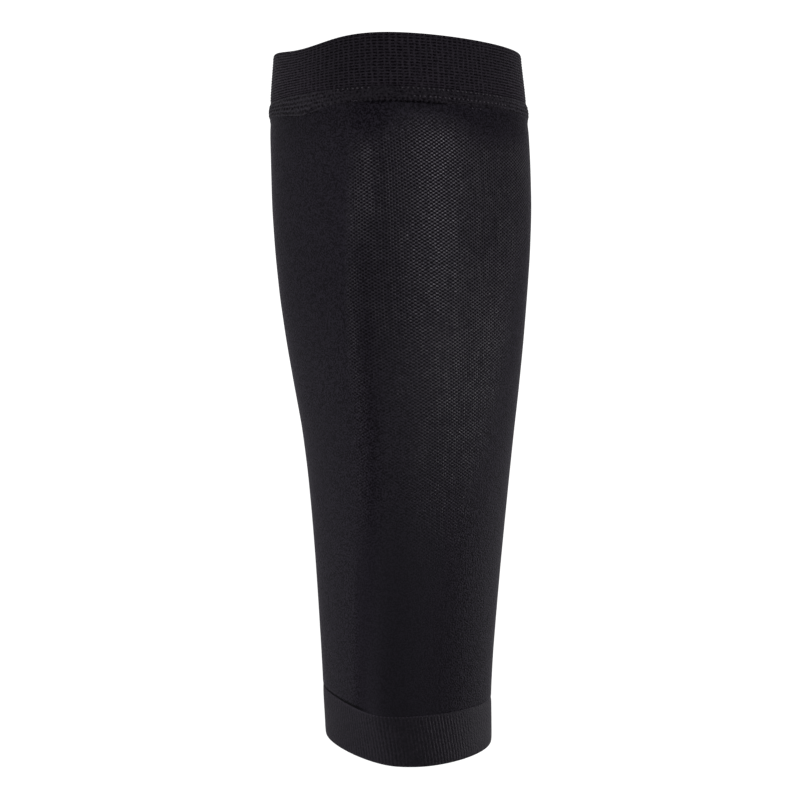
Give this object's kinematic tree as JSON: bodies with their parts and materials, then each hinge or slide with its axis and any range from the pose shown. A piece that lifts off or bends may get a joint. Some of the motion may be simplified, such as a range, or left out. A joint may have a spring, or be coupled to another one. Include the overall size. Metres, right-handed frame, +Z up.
{
  "type": "footless calf compression sleeve",
  "caption": "Footless knitted calf sleeve in worn form: tapered tube with a soft shin crest, elastic top band, raised seam and ribbed ankle cuff.",
  "frame": {"origin": "middle of the ankle opening, on the axis of the leg that fills the sleeve", "axes": "+Z up the leg, -Y towards the shin, +X to the right seen from the front"},
  "size_m": [0.1205, 0.1198, 0.3178],
  "materials": {
    "tube_knit": "black nylon and elastane knit with fine pin holes, matt with a soft sheen",
    "band_knit": "black elastic knit in level courses, matt",
    "seam_thread": "black overlock thread, slightly glossy",
    "cuff_rib": "black fine rib knit, matt"
  },
  "bodies": {
    "root": {"leg_tube": "tube_knit", "top_band": "band_knit", "band_seam": "seam_thread", "ankle_cuff": "cuff_rib"}
  },
  "joints": []
}
